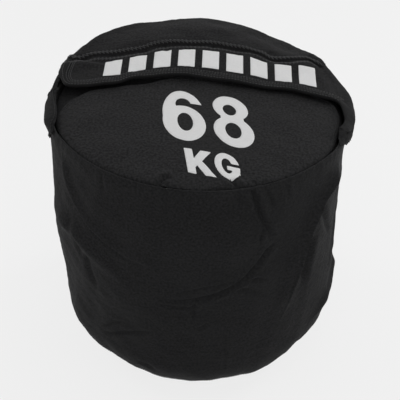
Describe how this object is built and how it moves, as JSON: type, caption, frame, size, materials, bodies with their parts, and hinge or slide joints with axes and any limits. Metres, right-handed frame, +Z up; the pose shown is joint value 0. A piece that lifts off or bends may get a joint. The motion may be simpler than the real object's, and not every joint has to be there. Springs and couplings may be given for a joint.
{
  "type": "sandbag trainer",
  "caption": "Round sand-filled nylon training bag with a padded hood and a double hook-and-loop closure whose flap folds down over the rim at both sides.",
  "frame": {"origin": "on the floor under the middle of the bag, at the centre of its bounding box's bottom face", "axes": "+Z up, +X to the right across the closure flap's length, -Y towards the front, the side of the plain top panel"},
  "size_m": [0.417, 0.4039, 0.4062],
  "materials": {
    "nylon_fabric": "matte black heavy woven nylon, faint sheen on folds",
    "lining_fabric": "matte black plain weave lining",
    "binding_tape": "black twill tape with zigzag stitching",
    "hook_tape": "black moulded hooks on woven tape",
    "loop_tape": "black brushed loop pile",
    "liner_film": "translucent white woven polymer film",
    "tie_plastic": "natural nylon tie",
    "dry_sand": "dry washed sand"
  },
  "bodies": {
    "root": {"side_wall": "nylon_fabric", "side_seam_lap": "binding_tape", "bottom_panel": "nylon_fabric", "bottom_seam_binding": "binding_tape", "top_seam_binding": "binding_tape", "front_top_panel": "nylon_fabric", "front_mouth_facing": "lining_fabric", "front_loop_tape": "loop_tape", "rear_mouth_facing": "lining_fabric", "rear_hood": "nylon_fabric", "flap_seam_tape": "binding_tape", "side_loop_patch_left": "loop_tape", "side_loop_patch_right": "loop_tape", "sand_liner": "liner_film", "liner_tie": "tie_plastic", "sand_fill": "dry_sand"},
    "closure_flap": {"flap_outer": "nylon_fabric", "flap_lining": "lining_fabric", "flap_hook_tape": "hook_tape", "flap_edge_binding": "binding_tape"},
    "left_wing": {"wing_left": "nylon_fabric", "wing_hook_patch_left": "hook_tape"},
    "right_wing": {"wing_right": "nylon_fabric", "wing_hook_patch_right": "hook_tape"},
    "inner_closure": {"inner_flap": "nylon_fabric", "inner_hook_tape": "hook_tape", "inner_loop_tape": "loop_tape"}
  },
  "joints": [
    {"name": "flap_open", "type": "hinge", "parent": "root", "child": "closure_flap", "pos_m": [0, 0.112, 0.39993], "axis": [-1, 0, 0], "range_deg": [0, 150]},
    {"name": "inner_flap_open", "type": "hinge", "parent": "root", "child": "inner_closure", "pos_m": [0, 0.105, 0.39108], "axis": [-1, 0, 0], "range_deg": [0, 105]},
    {"name": "left_wing_fold", "type": "hinge", "parent": "closure_flap", "child": "left_wing", "pos_m": [-0.18016, 0.078, 0.38581], "axis": [0, 0.9985, 0.0556], "range_deg": [0, 90]},
    {"name": "right_wing_fold", "type": "hinge", "parent": "closure_flap", "child": "right_wing", "pos_m": [0.18016, 0.078, 0.38581], "axis": [0, -0.9985, -0.0556], "range_deg": [0, 90]}
  ],
  "couplings": [
    {"joint": "inner_flap_open", "follows": "flap_open", "ratio": 0.7},
    {"joint": "left_wing_fold", "follows": "flap_open", "ratio": 0.6},
    {"joint": "right_wing_fold", "follows": "flap_open", "ratio": 0.6}
  ]
}
